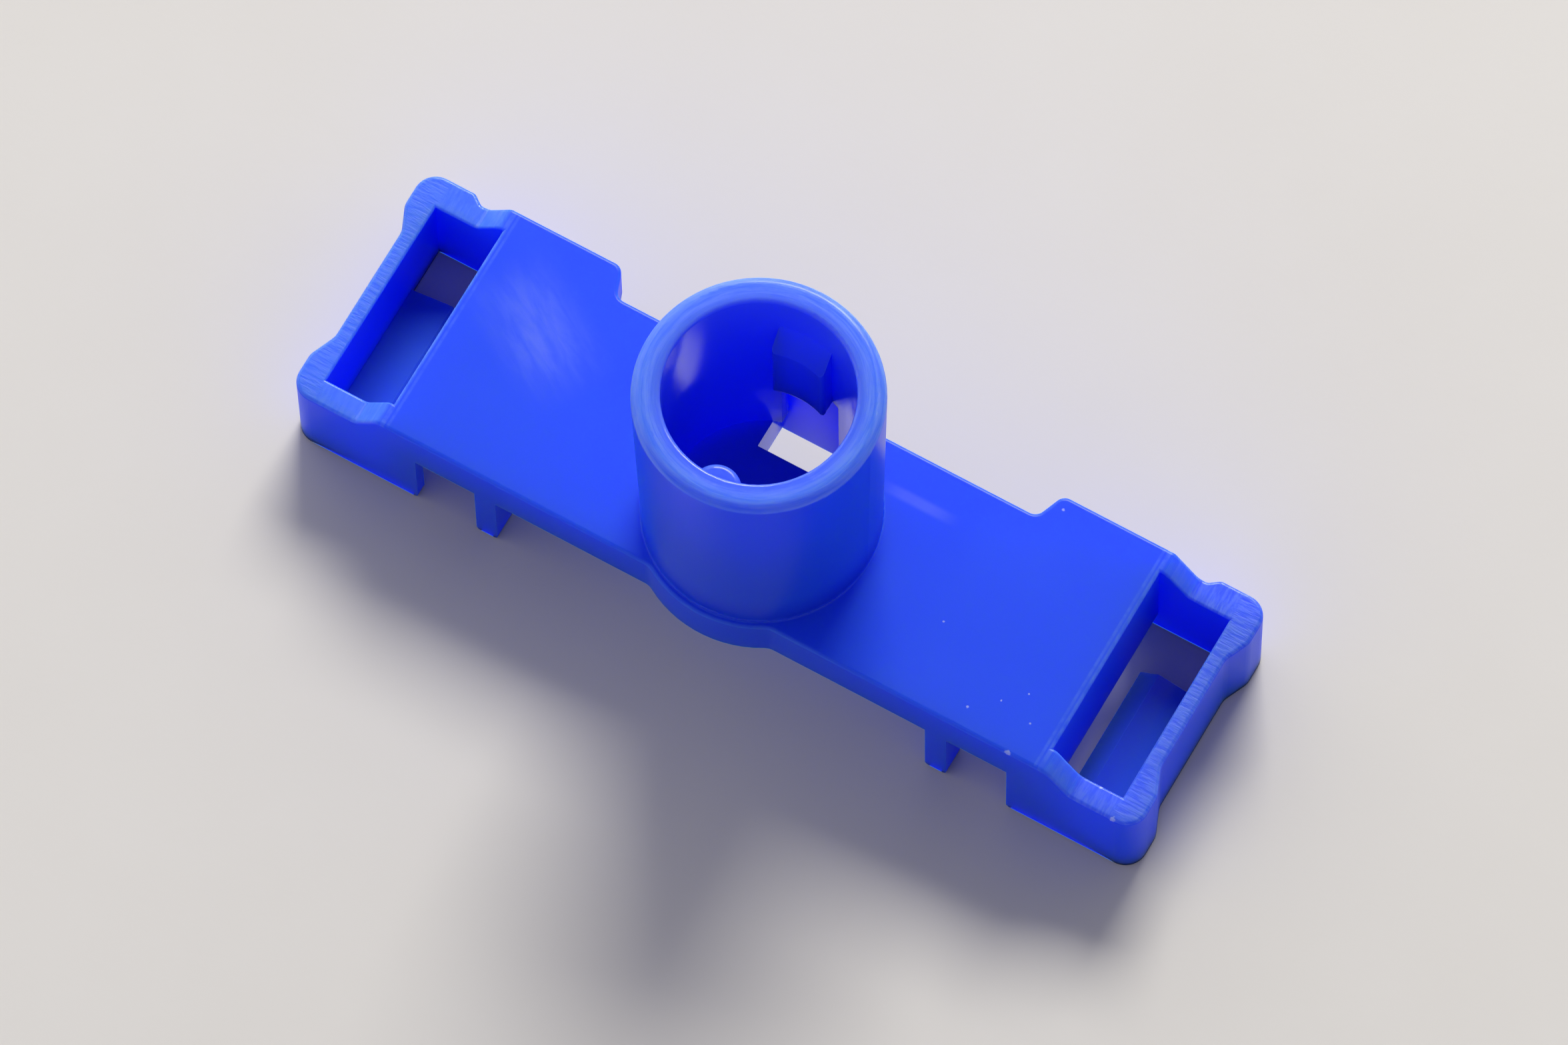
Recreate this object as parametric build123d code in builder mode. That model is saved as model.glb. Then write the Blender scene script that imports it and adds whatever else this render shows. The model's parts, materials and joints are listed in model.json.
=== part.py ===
"""Moulded strap bar with an upright socket, made as one injection moulding, in millimetres.

X runs along the bar, Y from the front edge to the rear edge, Z up from the table.
The origin is the middle of the footprint at the height of the feet.
"""
from build123d import *
import os

os.makedirs("parts", exist_ok=True)

# Plate
plate_top = 6.8
plate_t = 2.5
plate_front_y = -6.0
plate_rear_y = 6.85
plate_neck_y = 5.3
plate_end_x = 18.0
step_outer_x = 12.1
step_inner_x = 11.5
step_r = 0.55
edge_r = 0.2
pocket_edge_r = 0.15
end_lip_t = 0.8
end_lip_z = 1.5
plate_bottom = plate_top - plate_t

# Socket tube standing on the middle of the plate, a little towards the front
socket_y = -0.85
socket_od = 12.0
socket_foot_d = 11.5
socket_top = 21.0
bore_d = 9.2
bulge_r = 6.1
foot_r = 0.12
rim_outer_r = 0.5
rim_inner_r = 0.2

# Snap tooth, the core slot under it and the rib opposite, both rooted in the wall to embed_r
embed_r = 5.2
slot_half_w = 1.8
slot_front_y = 1.9
slot_rear_y = 4.2
slot_top = 12.5
tooth_x0 = -1.4
tooth_x1 = 1.4
tooth_face_r = 3.7
tooth_crest_z = 17.0
tooth_ramp_z = 18.3
tooth_edge_r = 0.18
rib_x = 0.4
rib_r = 1.2
rib_stand = 1.05
rib_top = 20.0
rib_foot = 13.0

# Open frame at each end of the plate
frame_rim_z = 5.3
ramp_top_x = 18.25
ramp_foot_x = 19.55
ramp_top_r = 0.4
ramp_foot_r = 0.5
end_wall_inner_x = 21.8
end_wall_outer_x = 22.62
frame_outer_x = 23.2
front_wall_inner_y = -4.72
rear_wall_inner_y = 5.65
lobe_corner_r = 1.1
lobe_waist_r = 0.9
front_lobe_y = -3.9
front_waist_y = -2.5
rear_waist_y = 3.8
rear_lobe_y = 5.1
rear_lobe_top_y = 7.25
lobe_neck_x = 19.95
lobe_shoulder_x = 20.5

# Low ledge in each end frame
ledge_crest_x = 19.5
ledge_crest_z = 1.15
ledge_wall_z = 0.5
ledge_nose_x = 18.5
ledge_nose_z = 0.3
ledge_rear_y = 3.05

# Skirts and legs under the plate edges
skirt_end_x = 16.2
skirt_t = 0.65
leg_mid_x = 12.35
leg_w = 1.15
leg_d = 1.5
foot_corner_r = 0.25

with BuildPart() as moulding:
    # Flat plate, stepped in along the rear edge beside the socket
    with BuildSketch(Plane.XY.offset(plate_bottom)) as plate_outline:
        with BuildLine():
            Polyline(
                (0, plate_front_y),
                (plate_end_x, plate_front_y),
                (plate_end_x, plate_rear_y),
                (step_outer_x, plate_rear_y),
                (step_inner_x, plate_neck_y),
                (0, plate_neck_y),
                close=True,
            )
        make_face()
        mirror(about=Plane.YZ)
        with Locations((0, socket_y)):
            Circle(bulge_r)
        step_corners = [v for v in plate_outline.vertices() if 9 < abs(v.X) < 17]
        fillet(step_corners, step_r)
        bulge_corners = [v for v in plate_outline.vertices() if abs(v.X) < 5 and v.Y < plate_front_y + 0.1]
        fillet(bulge_corners, 0.9)
    extrude(amount=plate_t)

    # End frame, solid at first: waisted end wall between two rounded corner lobes
    frame_inner_x = skirt_end_x
    with BuildSketch() as end_frame:
        with BuildLine():
            Polyline(
                (frame_inner_x, plate_front_y),
                (frame_outer_x, plate_front_y),
                (frame_outer_x, front_lobe_y),
                (end_wall_outer_x, front_waist_y),
                (end_wall_outer_x, rear_waist_y),
                (frame_outer_x, rear_lobe_y),
                (frame_outer_x, rear_lobe_top_y),
                (lobe_shoulder_x, rear_lobe_top_y),
                (lobe_neck_x, plate_rear_y),
                (frame_inner_x, plate_rear_y),
                close=True,
            )
        make_face()
        outer_corners = [
            v
            for v in end_frame.vertices()
            if v.X > frame_outer_x - 0.02 and (v.Y < plate_front_y + 0.1 or v.Y > rear_lobe_top_y - 0.1)
        ]
        fillet(outer_corners, lobe_corner_r)
        lobe_sides = [
            v
            for v in end_frame.vertices()
            if any(abs(v.Y - y) < 0.01 for y in (front_lobe_y, front_waist_y, rear_waist_y, rear_lobe_y))
        ]
        fillet(lobe_sides, lobe_waist_r)
        neck_corners = [v for v in end_frame.vertices() if lobe_neck_x - 0.1 < v.X < lobe_shoulder_x + 0.1]
        fillet(neck_corners, 0.35)
    extrude(amount=frame_rim_z)

    # Ramps from the plate down to the rim of the frame, on the two short walls
    for wall_y, wall_t in (
        (front_wall_inner_y, front_wall_inner_y - plate_front_y),
        (plate_rear_y, plate_rear_y - rear_wall_inner_y),
    ):
        with BuildSketch(Plane.XZ.offset(-wall_y)) as ramp_section:
            with BuildLine():
                Polyline(
                    (plate_end_x - 0.5, plate_bottom),
                    (plate_end_x - 0.5, plate_top),
                    (ramp_top_x, plate_top),
                    (ramp_foot_x, frame_rim_z),
                    (ramp_foot_x + 0.25, frame_rim_z),
                    (ramp_foot_x + 0.25, plate_bottom),
                    close=True,
                )
            make_face()
            # The section is read in its own plane, where Y is the height
            bends = ramp_section.vertices()
            fillet([v for v in bends if abs(v.X - ramp_top_x) < 0.01], ramp_top_r)
            fillet([v for v in ramp_section.vertices() if abs(v.X - ramp_foot_x) < 0.01], ramp_foot_r)
        extrude(amount=wall_t)

    # Pocket through the end frame, and the hollow under the very end of the plate
    pocket_mid_x = (plate_end_x + end_wall_inner_x) / 2
    pocket_mid_y = (front_wall_inner_y + rear_wall_inner_y) / 2
    with Locations((pocket_mid_x, pocket_mid_y, 0)):
        Box(
            end_wall_inner_x - plate_end_x,
            rear_wall_inner_y - front_wall_inner_y,
            plate_top + 1,
            align=(Align.CENTER, Align.CENTER, Align.MIN),
            mode=Mode.SUBTRACT,
        )
    hollow_y0 = plate_front_y + skirt_t
    for hollow_x1, hollow_top in ((plate_end_x - end_lip_t, plate_bottom), (plate_end_x, end_lip_z)):
        with Locations(((frame_inner_x + hollow_x1) / 2, (hollow_y0 + rear_wall_inner_y) / 2, 0)):
            Box(
                hollow_x1 - frame_inner_x,
                rear_wall_inner_y - hollow_y0,
                hollow_top,
                align=(Align.CENTER, Align.CENTER, Align.MIN),
                mode=Mode.SUBTRACT,
            )

    # Low ledge along the foot of the end wall, rising to a crest and a sloped nose
    with BuildSketch(Plane.XZ.offset(-ledge_rear_y)):
        with BuildLine():
            Polyline(
                (end_wall_inner_x + 0.3, 0),
                (end_wall_inner_x + 0.3, ledge_wall_z),
                (ledge_crest_x, ledge_crest_z),
                (ledge_nose_x, ledge_nose_z),
                (ledge_nose_x, 0),
                close=True,
            )
        make_face()
    extrude(amount=ledge_rear_y - front_wall_inner_y + 0.3)

    # A small separate leg under each plate edge
    for wall_y, side, leg_x in ((plate_front_y, 1, leg_mid_x), (plate_rear_y, -1, leg_mid_x + 0.9)):
        with Locations((leg_x, wall_y + side * leg_d / 2, 0)):
            Box(leg_w, leg_d, plate_bottom + 0.5, align=(Align.CENTER, Align.CENTER, Align.MIN))
    toe_edges = [
        e
        for e in moulding.edges().filter_by(Axis.Y)
        if e.center().Z < 0.01 and 1 < abs(e.center().X) < skirt_end_x + 0.01
    ]
    fillet(toe_edges, foot_corner_r)
    mirror(about=Plane.YZ)

    # Softened outer edges: plate outline, ramps and the rims of the end frames
    wall_ys = (plate_front_y, plate_rear_y)
    outer_edges = []
    pocket_edges = []
    for e in moulding.edges():
        mid = e.center()
        along_x = abs(mid.X)
        on_wall = any(abs(mid.Y - y) < 0.02 for y in wall_ys)
        on_pocket_y = any(abs(mid.Y - y) < 0.02 for y in (front_wall_inner_y, rear_wall_inner_y))
        level = abs(mid.Z - plate_top) < 0.01 or abs(mid.Z - frame_rim_z) < 0.01
        ramp = plate_end_x < along_x < ramp_foot_x + 0.24 and frame_rim_z < mid.Z < plate_top
        upright = abs(mid.Z - (plate_top + plate_bottom) / 2) < 0.02
        in_frame = along_x > plate_end_x - 0.01
        in_pocket = in_frame and along_x < end_wall_inner_x + 0.01
        across = plate_end_x + 0.01 < along_x < ramp_foot_x + 0.27 and abs((e % 0.5).Y) > 0.99
        if not (level or ramp) or upright or across:
            continue
        if in_pocket and front_wall_inner_y - 0.02 < mid.Y < rear_wall_inner_y + 0.02:
            pocket_edges.append(e)
        elif level and mid.Z > frame_rim_z + 0.1 and in_frame and not on_wall:
            continue
        elif ramp and not on_wall:
            continue
        else:
            outer_edges.append(e)
    fillet(outer_edges, edge_r)
    pocket_edges = [
        e
        for e in moulding.edges()
        if any(e.center() == old.center() for old in pocket_edges)
    ]
    fillet(pocket_edges, pocket_edge_r)

    # Upright socket tube as one turned wall: concave foot, slight taper, rounded rim
    foot_land = socket_foot_d / 2 + 1.15 * foot_r
    with BuildSketch(Plane.XZ.offset(-socket_y)) as wall_section:
        with BuildLine():
            Polyline(
                (bore_d / 2, plate_top - 0.4),
                (foot_land, plate_top - 0.4),
                (foot_land, plate_top),
                (socket_foot_d / 2, plate_top),
                (socket_od / 2, socket_top),
                (bore_d / 2, socket_top),
                close=True,
            )
        make_face()
        # The section is read in its own plane, where Y is the height
        foot_corner = wall_section.vertices().group_by(Axis.Y)[1].sort_by(Axis.X)[0]
        fillet(foot_corner, foot_r)
        fillet(wall_section.vertices().group_by(Axis.Y)[-1].sort_by(Axis.X)[0], rim_inner_r)
        fillet(wall_section.vertices().group_by(Axis.Y)[-1].sort_by(Axis.X)[-1], rim_outer_r)
    revolve(axis=Axis((0, socket_y, 0), (0, 0, 1)))

    # Window through the floor, and the groove the core pin leaves up the rear of the bore
    with Locations((0, (slot_front_y + slot_rear_y) / 2, 0)):
        Box(
            2 * slot_half_w,
            slot_rear_y - slot_front_y,
            plate_top,
            align=(Align.CENTER, Align.CENTER, Align.MIN),
            mode=Mode.SUBTRACT,
        )
    with Locations(((tooth_x0 + slot_half_w) / 2, (slot_front_y + slot_rear_y) / 2, plate_top)):
        Box(
            slot_half_w - tooth_x0,
            slot_rear_y - slot_front_y,
            slot_top - plate_top,
            align=(Align.CENTER, Align.CENTER, Align.MIN),
            mode=Mode.SUBTRACT,
        )

    # Snap tooth above the slot, its face curved about the axis of the socket
    with BuildPart(mode=Mode.PRIVATE) as tooth:
        with BuildSketch(Plane.XZ.offset(-socket_y)):
            with BuildLine():
                Polyline(
                    (embed_r, slot_top),
                    (tooth_face_r, slot_top),
                    (tooth_face_r, tooth_crest_z),
                    (bore_d / 2, tooth_ramp_z),
                    (embed_r, tooth_ramp_z),
                    close=True,
                )
            make_face()
        revolve(axis=Axis((0, socket_y, 0), (0, 0, 1)))
        with Locations(((tooth_x0 + tooth_x1) / 2, socket_y + 4, slot_top)):
            Box(
                tooth_x1 - tooth_x0,
                8,
                10,
                align=(Align.CENTER, Align.CENTER, Align.MIN),
                mode=Mode.INTERSECT,
            )
        front_edges = [
            e
            for e in tooth.edges()
            if (e @ 0.5 - Vector(0, socket_y, (e @ 0.5).Z)).length < tooth_face_r + 0.3
        ]
        fillet(front_edges, tooth_edge_r)
    add(tooth.part)

    # Half-round pressure rib opposite the tooth
    with BuildPart(mode=Mode.PRIVATE) as rib:
        with Locations((rib_x, socket_y - bore_d / 2 + rib_stand - rib_r, rib_foot)):
            Cylinder(rib_r, rib_top - rib_foot, align=(Align.CENTER, Align.CENTER, Align.MIN))
        fillet(rib.edges().filter_by(GeomType.CIRCLE).sort_by(Axis.Z)[-1], 0.3)
        with Locations((0, socket_y, rib_foot)):
            Cylinder(
                embed_r,
                rib_top - rib_foot,
                align=(Align.CENTER, Align.CENTER, Align.MIN),
                mode=Mode.INTERSECT,
            )
    add(rib.part)

moulding.part.label = "strap_socket_moulding"
export_step(moulding.part, "parts/strap_socket_moulding.step")
print(moulding.part.volume, len(moulding.part.solids()), moulding.part.bounding_box())
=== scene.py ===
"""Studio picture of the moulded tube socket bracket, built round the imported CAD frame."""

import json
import math

import bpy
from mathutils import Matrix, Vector

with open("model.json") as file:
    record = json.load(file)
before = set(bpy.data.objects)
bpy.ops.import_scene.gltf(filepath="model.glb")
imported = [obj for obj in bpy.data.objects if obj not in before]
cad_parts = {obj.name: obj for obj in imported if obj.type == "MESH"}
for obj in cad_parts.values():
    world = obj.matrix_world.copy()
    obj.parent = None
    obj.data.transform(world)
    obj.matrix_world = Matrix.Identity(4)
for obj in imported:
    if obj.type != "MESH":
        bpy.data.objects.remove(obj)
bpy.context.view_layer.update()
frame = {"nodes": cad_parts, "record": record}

NODE = "strap_socket_moulding"
scene = bpy.context.scene
MM = 0.001

# Heights and places on the part, in millimetres, from its mounts where they give them
mounts = {mount["name"]: mount for mount in frame["record"]["mounts"]}
SOCKET_Y = mounts["socket"]["pos_m"][1] / MM
PLATE_TOP = mounts["socket"]["pos_m"][2] / MM
FRAME_RIM = mounts["right_frame"]["pos_m"][2] / MM
BORE_RADIUS = mounts["socket"]["dims"]["r_mm"]
RIM_TOP = PLATE_TOP + mounts["socket"]["dims"]["length_mm"]
TUBE_RADIUS = 6.0
MID_WALL = (BORE_RADIUS + TUBE_RADIUS) / 2
PLATE_UNDERSIDE = PLATE_TOP - 2.5
PLATE_END = 18.0
END_WALL = 21.8
LEDGE_TOP = 1.15
LEDGE_X, LEDGE_HALF_LENGTH = 20.1, 1.80
LEDGE_Y, LEDGE_HALF_WIDTH = -0.85, 3.88
# Place and direction of the pale patch of painted reflection on the plate
SHEEN_PATCH_X, SHEEN_PATCH_Y = -13.9, 2.0
SHEEN_PATCH_COS, SHEEN_PATCH_SIN = 0.85, -0.53
STREAK_X, STREAK_Y = 6.3, 3.1

# Pale specks and nicks: x, y, z and size, in millimetres
FLECKS = (
    (10.34, -1.62, PLATE_TOP, 0.07),
    (15.66, -2.86, PLATE_TOP, 0.06),
    (14.68, -3.80, PLATE_TOP, 0.07),
    (13.44, -4.85, PLATE_TOP, 0.08),
    (16.43, -4.14, PLATE_TOP, 0.06),
    (12.46, 6.16, PLATE_TOP, 0.09),
    (16.23, -5.94, PLATE_TOP - 0.06, 0.17),
    (21.90, -5.92, FRAME_RIM - 0.08, 0.16),
    (20.66, -4.82, FRAME_RIM - 0.06, 0.11),
)

# Colours of the plastic; a pair is mixed by a pattern
RESIN = ((0.016, 0.090, 0.985, 1), (0.021, 0.106, 0.995, 1))
TUBE_RIM = ((0.075, 0.200, 0.98, 1), (0.140, 0.280, 0.995, 1))
LEFT_RIM = ((0.058, 0.190, 0.98, 1), (0.082, 0.225, 0.99, 1))
RIGHT_RIM = ((0.045, 0.130, 0.94, 1), (0.098, 0.205, 0.97, 1))
# Painted shade: upright walls and the tube's side get a deeper, darker blue than the tops
PAINTED_WALL_SHADE = (0.011, 0.070, 0.995, 1)
# Painted shade round the foot of the tube
PAINTED_FOOT_SHADE = (0.006, 0.030, 0.70, 1)
# Painted light: the bore gets a lighter blue, for light scattered into it
PAINTED_BORE_LIGHT = (0.085, 0.170, 0.995, 1)
# Painted light: the ledges in the end pockets get a lighter blue
PAINTED_LEDGE_LIGHT = (0.060, 0.160, 0.995, 1)
# Painted shade where the walls stand on the table
PAINTED_CONTACT_SHADE = (0.004, 0.016, 0.35, 1)
# Painted reflection: pale patch on the plate
PAINTED_SHEEN_PATCH = (0.13, 0.225, 0.98, 1)
STREAK = (0.20, 0.28, 0.98, 1)
# Painted highlight on the plate's rounded edge
PAINTED_EDGE_HIGHLIGHT = (0.060, 0.170, 0.99, 1)
WORN_LINE = (0.12, 0.26, 0.98, 1)
SCUFF = (0.24, 0.36, 0.99, 1)
SPECK = (0.50, 0.58, 0.99, 1)

# Table and sky colours, strengths of the sky, and the camera: places in metres, roll in degrees,
# lens and sensor in millimetres
TABLE = ((0.740, 0.712, 0.622, 1), (0.780, 0.757, 0.672, 1))
TABLE_HALF = 1.5
SKY = (0.87, 0.87, 1.07, 1)
SIDE_LIGHT, TOP_LIGHT = 0.91, 0.16
FRONT_SHARE, REAR_SHARE = 0.62, 1.30
LEFT_SHARE, RIGHT_SHARE = 1.42, 0.47
CAM_PLACE = Vector((0.12994, -0.21490, 0.60736))
CAM_TARGET = Vector((-0.00022, 0.00150, 0.0))
CAM_ROLL = -1.48
CAM_LENS = 314.5
CAM_SENSOR = 36.0


# ---------------------------------------------------------------- node helpers


class Graph:
    """Small helper for building a material's node tree."""

    def __init__(self, name):
        self.mat = bpy.data.materials.new(name)
        self.mat.use_nodes = True
        self.nodes = self.mat.node_tree.nodes
        self.links = self.mat.node_tree.links
        self.nodes.clear()

    def add(self, kind, **props):
        node = self.nodes.new(kind)
        for key, value in props.items():
            setattr(node, key, value)
        return node

    def put(self, value, socket):
        """Link a socket, or set a plain value."""
        if isinstance(value, bpy.types.NodeSocket):
            self.links.new(value, socket)
        elif value is not None:
            socket.default_value = value

    def math(self, op, a, b=None):
        node = self.add("ShaderNodeMath", operation=op)
        self.put(a, node.inputs[0])
        self.put(b, node.inputs[1])
        return node.outputs[0]

    def times(self, a, b):
        return self.math("MULTIPLY", a, b)

    def plus(self, a, b):
        return self.math("ADD", a, b)

    def minus(self, a, b):
        return self.math("SUBTRACT", a, b)

    def larger(self, a, b):
        return self.math("MAXIMUM", a, b)

    def ramp(self, value, low, high, out_low=0.0, out_high=1.0):
        """Smooth step of value from low to high."""
        node = self.add("ShaderNodeMapRange", interpolation_type="SMOOTHSTEP")
        for socket, item in zip(node.inputs, (value, low, high, out_low, out_high)):
            self.put(item, socket)
        return node.outputs[0]

    def band(self, value, centre, half, soft):
        """1 inside centre +- half, falling to 0 over soft."""
        away = self.math("ABSOLUTE", self.minus(value, centre))
        return self.ramp(away, half, half + soft, 1.0, 0.0)

    def noise(self, vector, scale=1.0, detail=3.0, rough=0.5, distortion=0.0):
        node = self.add("ShaderNodeTexNoise")
        self.put(vector, node.inputs["Vector"])
        node.inputs["Scale"].default_value = scale
        node.inputs["Detail"].default_value = detail
        node.inputs["Roughness"].default_value = rough
        node.inputs["Distortion"].default_value = distortion
        return node.outputs["Fac"]

    def mix(self, factor, a, b):
        """Mix two colours."""
        node = self.add("ShaderNodeMix", data_type="RGBA")
        self.put(factor, node.inputs[0])
        self.put(a, node.inputs[6])
        self.put(b, node.inputs[7])
        return node.outputs[2]

    def tint(self, base, mask, amount, colour):
        """Base colour with colour laid over it where the mask is 1."""
        return self.mix(self.times(mask, amount), base, colour)

    def mix_value(self, factor, a, b):
        node = self.add("ShaderNodeMix", data_type="FLOAT")
        self.put(factor, node.inputs[0])
        self.put(a, node.inputs[2])
        self.put(b, node.inputs[3])
        return node.outputs[0]

    def combine(self, x, y, z):
        node = self.add("ShaderNodeCombineXYZ")
        for socket, item in zip(node.inputs, (x, y, z)):
            self.put(item, socket)
        return node.outputs[0]

    def split(self, vector):
        node = self.add("ShaderNodeSeparateXYZ")
        self.put(vector, node.inputs[0])
        return node.outputs

    def finish(self, shader, bump_height, strength):
        """Give the shader its bump and its output."""
        bump = self.add("ShaderNodeBump")
        bump.inputs["Strength"].default_value = strength
        bump.inputs["Distance"].default_value = 0.02 * MM
        self.put(bump_height, bump.inputs["Height"])
        self.put(bump.outputs[0], shader.inputs["Normal"])
        out = self.add("ShaderNodeOutputMaterial")
        self.put(shader.outputs[0], out.inputs[0])
        return self.mat


# ---------------------------------------------------------------- blue plastic


class Place:
    """Position on the part in millimetres, and masks that pick out its surfaces."""

    def __init__(self, g):
        coords = g.add("ShaderNodeTexCoord")
        scale = g.add("ShaderNodeVectorMath", operation="SCALE")
        g.put(coords.outputs["Object"], scale.inputs[0])
        scale.inputs["Scale"].default_value = 1 / MM
        self.mm = scale.outputs[0]
        self.x, self.y, self.z = g.split(self.mm)
        self.ax = g.math("ABSOLUTE", self.x)
        self.up = g.split(coords.outputs["Normal"])[2]

        # Polar place round the axis of the socket
        dy = g.minus(self.y, SOCKET_Y)
        squares = g.plus(g.times(self.x, self.x), g.times(dy, dy))
        self.radius = g.math("SQRT", squares)
        self.round_x = g.math("DIVIDE", self.x, self.radius)
        self.round_y = g.math("DIVIDE", dy, self.radius)
        self.find_plate_and_rims(g)
        self.find_socket(g)
        self.find_ledges(g)

        # Upright walls of the plate and the end frames
        round_walls = g.larger(self.tube_side, self.bore)
        steep = g.ramp(g.math("ABSOLUTE", self.up), 0.45, 0.2)
        self.upright = g.times(steep, g.minus(1.0, round_walls))

    def find_plate_and_rims(self, g):
        flat_up = g.ramp(self.up, 0.75, 0.97)
        self.on_plate = g.times(flat_up, g.band(self.z, PLATE_TOP, 0.12, 0.05))
        past_plate = g.ramp(self.ax, PLATE_END, PLATE_END + 0.4)
        on_frame = g.times(g.ramp(self.up, 0.25, 0.6), past_plate)
        self.on_frame = g.times(on_frame, g.ramp(self.z, FRAME_RIM - 1.8, FRAME_RIM - 1.1))
        near_top = g.ramp(self.z, RIM_TOP - 0.75, RIM_TOP - 0.4)
        self.on_rim = g.times(near_top, g.ramp(self.up, -0.1, 0.35))
        # Small rounded edges of the rims
        self.sharp = g.times(g.band(self.up, 0.86, 0.10, 0.02), g.larger(self.on_rim, self.on_frame))
        # Rounded edge all round the plate
        near_edge = g.band(self.z, PLATE_TOP - 0.15, 0.17, 0.04)
        self.soft_edge = g.times(g.band(self.up, 0.55, 0.36, 0.04), near_edge)

    def find_socket(self, g):
        above_plate = g.ramp(self.z, PLATE_TOP + 0.05, PLATE_TOP + 0.3)
        self.tube_side = g.times(above_plate, g.ramp(self.radius, MID_WALL - 0.1, MID_WALL + 0.2))
        above_floor = g.ramp(self.z, PLATE_UNDERSIDE - 0.4, PLATE_UNDERSIDE - 0.1)
        self.bore = g.times(above_floor, g.ramp(self.radius, MID_WALL, BORE_RADIUS + 0.1))

    def find_ledges(self, g):
        low = g.ramp(self.z, LEDGE_TOP + 0.25, LEDGE_TOP + 0.1)
        ledge = g.times(low, g.band(self.ax, LEDGE_X, LEDGE_HALF_LENGTH, 0.05))
        ledge = g.times(ledge, g.band(self.y, LEDGE_Y, LEDGE_HALF_WIDTH, 0.05))
        self.nose = g.times(ledge, g.ramp(self.up, 0.95, 0.85))
        self.low_ledge = g.minus(ledge, self.nose)


class Marks:
    """Texture of the resin and of the tool."""

    def __init__(self, g, at):
        self.cloud = g.noise(at.mm, scale=0.16, detail=1.0, rough=0.4, distortion=0.3)
        self.grain = g.noise(at.mm, scale=9.0, detail=4.0, rough=0.6)
        self.fine = g.noise(at.mm, scale=28.0, detail=3.0, rough=0.6)
        self.chalk = g.noise(at.mm, scale=1.1, detail=5.0, rough=0.62, distortion=0.3)

        # Rings turned into the rim of the tube, sharp and soft
        rings = g.combine(g.times(at.round_x, 2.2), g.times(at.round_y, 2.2), g.times(at.radius, 6.5))
        self.turn = g.noise(rings, detail=4.0, rough=0.65)
        soft_rings = g.combine(at.round_x, at.round_y, g.times(at.radius, 3.0))
        self.turn_soft = g.noise(soft_rings, scale=1.2, detail=3.0, rough=0.6)

        # Fine lines across the rims of the end frames
        across_end = g.combine(g.times(at.x, 0.8), g.times(at.y, 5.2), 0.0)
        across_side = g.combine(g.times(at.x, 5.2), g.times(at.y, 0.8), 0.0)
        comb_end = g.noise(across_end, detail=3.0, rough=0.6)
        comb_side = g.noise(across_side, detail=3.0, rough=0.6)
        side_wall = g.ramp(at.ax, END_WALL + 0.2, END_WALL - 0.2)
        self.comb = g.ramp(g.mix_value(side_wall, comb_end, comb_side), 0.36, 0.64)


def wall_colours(g, at, marks):
    """Colour of each surface before any wear, with painted shade on the walls, round the foot of the tube and
    at the table, and painted light in the bore and on the ledges.
    """
    rim_blue = g.mix(g.ramp(marks.turn, 0.34, 0.66), *TUBE_RIM)
    left_blue = g.mix(marks.comb, *LEFT_RIM)
    right_blue = g.mix(marks.comb, *RIGHT_RIM)
    right_end = g.ramp(at.x, PLATE_END - 1.0, PLATE_END - 0.5)
    frame_blue = g.mix(right_end, left_blue, right_blue)
    level_rim = g.band(at.z, FRAME_RIM - 0.1, 0.13, 0.05)
    frame_blue = g.mix(level_rim, left_blue, frame_blue)
    base = g.mix(at.on_frame, g.mix(marks.cloud, *RESIN), frame_blue)
    base = g.mix(at.on_rim, base, rim_blue)

    # Painted shade: upright walls and the outside of the tube are tinted deeper blue
    walls = g.larger(at.upright, g.times(at.tube_side, g.minus(1.0, at.on_rim)))
    base = g.tint(base, walls, 0.85, PAINTED_WALL_SHADE)

    # Painted shade: the resin is darker round the foot of the tube, where its contact shadow falls
    low = g.ramp(at.z, PLATE_TOP + 2.7, PLATE_TOP + 0.1)
    outside = g.times(at.tube_side, g.ramp(at.radius, TUBE_RADIUS + 0.1, TUBE_RADIUS))
    base = g.tint(base, g.times(low, outside), 0.6, PAINTED_FOOT_SHADE)

    # Painted light: lighter blue inside the bore
    base = g.tint(base, at.bore, 0.9, PAINTED_BORE_LIGHT)
    # Painted light: lighter blue on the ledges in the end pockets
    base = g.tint(base, g.plus(at.low_ledge, at.nose), 0.8, PAINTED_LEDGE_LIGHT)

    # Painted shade: darker line where the walls stand on the table
    foot_shade_line = g.times(g.ramp(at.z, 0.35, 0.05), g.ramp(at.up, 0.3, 0.1))
    return g.tint(base, foot_shade_line, 0.85, PAINTED_CONTACT_SHADE)


def add_painted_sheen_and_streak(g, base, at):
    """Painted reflection as a pale streaky patch on the plate, and one short streak in the plate."""
    from_x = g.minus(at.x, SHEEN_PATCH_X)
    from_y = g.minus(at.y, SHEEN_PATCH_Y)
    along = g.plus(g.times(from_x, SHEEN_PATCH_COS), g.times(from_y, SHEEN_PATCH_SIN))
    aside = g.plus(g.times(from_x, -SHEEN_PATCH_SIN), g.times(from_y, SHEEN_PATCH_COS))
    wisps = g.noise(
        g.combine(g.times(along, 0.35), g.times(aside, 1.5), 0.0), detail=4.0, rough=0.55, distortion=0.4
    )
    # Painted reflection: pale streaky patch on the plate
    sheen_patch = g.times(g.band(along, 0.0, 0.8, 3.6), g.band(aside, 0.0, 0.3, 2.6))
    sheen_patch = g.times(sheen_patch, g.ramp(wisps, 0.30, 0.68, 0.35, 1.0))
    base = g.mix(g.times(sheen_patch, g.times(at.on_plate, 0.80)), base, PAINTED_SHEEN_PATCH)
    streak = g.times(g.band(at.y, STREAK_Y, 0.12, 0.30), g.band(at.x, STREAK_X, 0.6, 1.8))
    return g.mix(g.times(streak, g.times(at.on_plate, 0.35)), base, STREAK)


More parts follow.
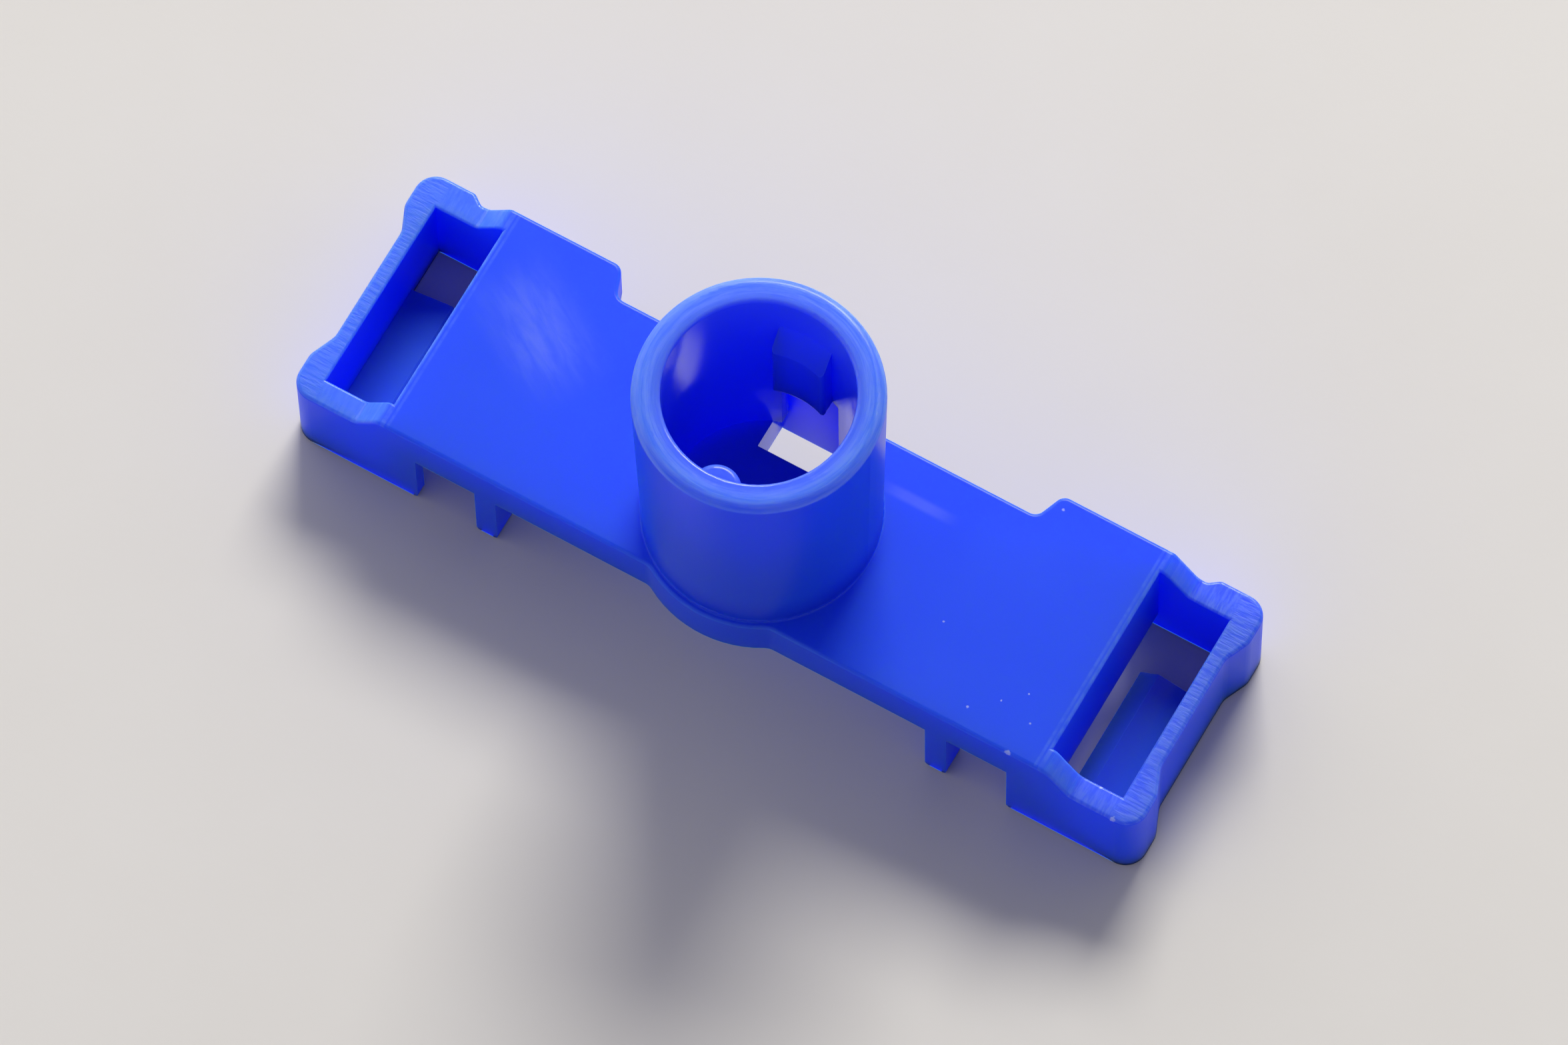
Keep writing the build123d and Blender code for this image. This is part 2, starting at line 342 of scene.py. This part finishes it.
def add_wear(g, base, at, marks):
    """Painted highlight on the plate's rounded edge, pale worn lines at the plate's ends, scuffs on the
    tube's rim, specks and nicks.
    """
    # Painted highlight: paler rounded edge all round the plate
    base = g.tint(base, at.soft_edge, 0.45, PAINTED_EDGE_HIGHLIGHT)
    end_line = g.times(g.band(at.ax, PLATE_END - 0.05, 0.06, 0.10), g.band(at.z, PLATE_TOP, 0.10, 0.08))
    inner_line = g.times(g.band(at.ax, PLATE_END - 0.33, 0.03, 0.08), g.times(at.on_plate, 0.7))
    end_line = g.times(g.larger(end_line, inner_line), g.ramp(marks.chalk, 0.30, 0.62, 0.25, 1.0))
    base = g.tint(base, end_line, 0.55, WORN_LINE)
    rubbed = g.times(at.on_rim, g.ramp(marks.chalk, 0.45, 0.70))
    base = g.tint(base, g.times(g.ramp(marks.turn_soft, 0.56, 0.72), rubbed), 0.55, SCUFF)

    specks = 0.0
    for fleck_x, fleck_y, fleck_z, size in FLECKS:
        gap = g.add("ShaderNodeVectorMath", operation="DISTANCE")
        g.put(at.mm, gap.inputs[0])
        gap.inputs[1].default_value = (fleck_x, fleck_y, fleck_z)
        ragged = g.times(g.minus(marks.grain, 0.5), 1.6 * size)
        away = g.plus(gap.outputs["Value"], ragged)
        specks = g.larger(specks, g.ramp(away, size, 0.5 * size))
    return g.tint(base, specks, 0.75, SPECK)


def roughness(g, at, marks):
    """Satin plate, dull rims, glossy ledges."""
    rough = g.mix_value(marks.cloud, 0.22, 0.25)
    for mask, extra in ((at.on_plate, 0.07), (at.on_frame, 0.14), (at.on_rim, 0.16)):
        rough = g.plus(rough, g.times(mask, extra))
    for mask, value in (
        (at.sharp, 0.14),
        (at.bore, 0.12),
        (at.low_ledge, 0.06),
        (at.nose, 0.5),
        (at.tube_side, 0.30),
        (at.upright, 0.34),
        (at.soft_edge, 0.5),
    ):
        rough = g.mix_value(mask, rough, value)
    return rough


def shine(g, at):
    """Strength of the gloss: weak on the upright walls, strong in the bore and on the ledges."""
    level = 0.26
    for mask, value in (
        (at.upright, 0.10),
        (at.tube_side, 0.12),
        (at.bore, 0.34),
        (at.low_ledge, 0.5),
        (at.nose, 0.02),
        (at.sharp, 0.5),
        (at.soft_edge, 0.12),
    ):
        level = g.mix_value(mask, level, value)
    return level


def relief(g, at, marks):
    """Height of the grain, the turned rings and the fine lines on the rims."""
    height = g.times(g.minus(marks.grain, 0.5), 0.5)
    height = g.plus(height, g.times(g.times(g.minus(marks.turn, 0.5), at.on_rim), 2.2))
    height = g.plus(height, g.times(g.times(g.minus(marks.comb, 0.5), at.on_frame), 2.0))
    return g.plus(height, g.times(g.minus(marks.fine, 0.5), 0.2))


def plastic():
    g = Graph("blue_moulded_plastic")
    at = Place(g)
    marks = Marks(g, at)
    base = wall_colours(g, at, marks)
    base = add_painted_sheen_and_streak(g, base, at)
    base = add_wear(g, base, at, marks)

    shader = g.add("ShaderNodeBsdfPrincipled")
    g.put(base, shader.inputs["Base Color"])
    g.put(roughness(g, at, marks), shader.inputs["Roughness"])
    g.put(shine(g, at), shader.inputs["Specular IOR Level"])
    shader.inputs["IOR"].default_value = 1.49
    # Blue light travels several millimetres in the resin, red and green hardly any
    shader.inputs["Subsurface Weight"].default_value = 1.0
    shader.inputs["Subsurface Radius"].default_value = (0.35, 0.40, 4.0)
    shader.inputs["Subsurface Scale"].default_value = MM
    return g.finish(shader, relief(g, at, marks), strength=0.22)


# ---------------------------------------------------------------- object

body = frame["nodes"][NODE]
blue = plastic()
body.data.materials.clear()
body.data.materials.append(blue)

# ---------------------------------------------------------------- floor


def floor_material():
    g = Graph("pale_table")
    coords = g.add("ShaderNodeTexCoord").outputs["Object"]
    mottle = g.noise(coords, scale=60.0, detail=4.0, rough=0.6)
    fine = g.noise(coords, scale=2500.0, detail=2.0)
    shader = g.add("ShaderNodeBsdfPrincipled")
    g.put(g.mix(mottle, *TABLE), shader.inputs["Base Color"])
    shader.inputs["Roughness"].default_value = 0.75
    return g.finish(shader, fine, strength=0.15)


corners = [(-1, -1), (1, -1), (1, 1), (-1, 1)]
floor_mesh = bpy.data.meshes.new("table_top")
floor_mesh.from_pydata([(TABLE_HALF * x, TABLE_HALF * y, 0) for x, y in corners], [], [(0, 1, 2, 3)])
floor = bpy.data.objects.new("table_top", floor_mesh)
floor_mesh.materials.append(floor_material())
scene.collection.objects.link(floor)

# ---------------------------------------------------------------- light


def area(name, azimuth, elevation, distance, size, power, colour):
    """Rectangular light that looks at the origin; angles in degrees, sizes in metres."""
    light = bpy.data.lights.new(name, "AREA")
    light.shape = "RECTANGLE"
    light.size, light.size_y = size
    light.energy = power
    light.color = colour
    obj = bpy.data.objects.new(name, light)
    scene.collection.objects.link(obj)
    a, e = math.radians(azimuth), math.radians(elevation)
    obj.location = Vector((math.cos(a) * math.cos(e), math.sin(a) * math.cos(e), math.sin(e))) * distance
    obj.rotation_euler = (-obj.location).to_track_quat("-Z", "Y").to_euler()


area("key", azimuth=106, elevation=42, distance=0.9, size=(0.42, 0.34), power=7.3, colour=(1.0, 0.985, 0.972))

world = bpy.data.worlds.new("studio")
scene.world = world
world.use_nodes = True
sky = world.node_tree
split = sky.nodes.new("ShaderNodeSeparateXYZ")
sky.links.new(sky.nodes.new("ShaderNodeTexCoord").outputs["Generated"], split.inputs[0])
sky_x, sky_y, sky_z = split.outputs


def sky_ramp(source, *numbers):
    """Smooth change of a sky direction component into a strength."""
    node = sky.nodes.new("ShaderNodeMapRange")
    node.interpolation_type = "SMOOTHSTEP"
    sky.links.new(source, node.inputs["Value"])
    for socket, number in zip(("From Min", "From Max", "To Min", "To Max"), numbers):
        node.inputs[socket].default_value = number
    return node.outputs[0]


# Brighter low down than overhead, and brighter behind and to the left
strength = sky_ramp(sky_z, 0.30, 0.90, SIDE_LIGHT, TOP_LIGHT)
for share in (
    sky_ramp(sky_y, -0.8, 0.6, FRONT_SHARE, REAR_SHARE),
    sky_ramp(sky_x, -0.7, 0.7, LEFT_SHARE, RIGHT_SHARE),
):
    product = sky.nodes.new("ShaderNodeMath")
    product.operation = "MULTIPLY"
    sky.links.new(strength, product.inputs[0])
    sky.links.new(share, product.inputs[1])
    strength = product.outputs[0]
background = sky.nodes["Background"]
background.inputs["Color"].default_value = SKY
sky.links.new(strength, background.inputs["Strength"])

# ---------------------------------------------------------------- camera

cam = bpy.data.cameras.new("camera")
cam_obj = bpy.data.objects.new("camera", cam)
scene.collection.objects.link(cam_obj)
scene.camera = cam_obj
cam.sensor_width = CAM_SENSOR
cam.lens = CAM_LENS
cam.clip_start, cam.clip_end = 0.02, 20.0
look = (CAM_TARGET - CAM_PLACE).to_track_quat("-Z", "Y").to_matrix().to_4x4()
cam_obj.matrix_world = Matrix.Translation(CAM_PLACE) @ look @ Matrix.Rotation(math.radians(CAM_ROLL), 4, "Z")

scene.view_settings.view_transform = "Standard"
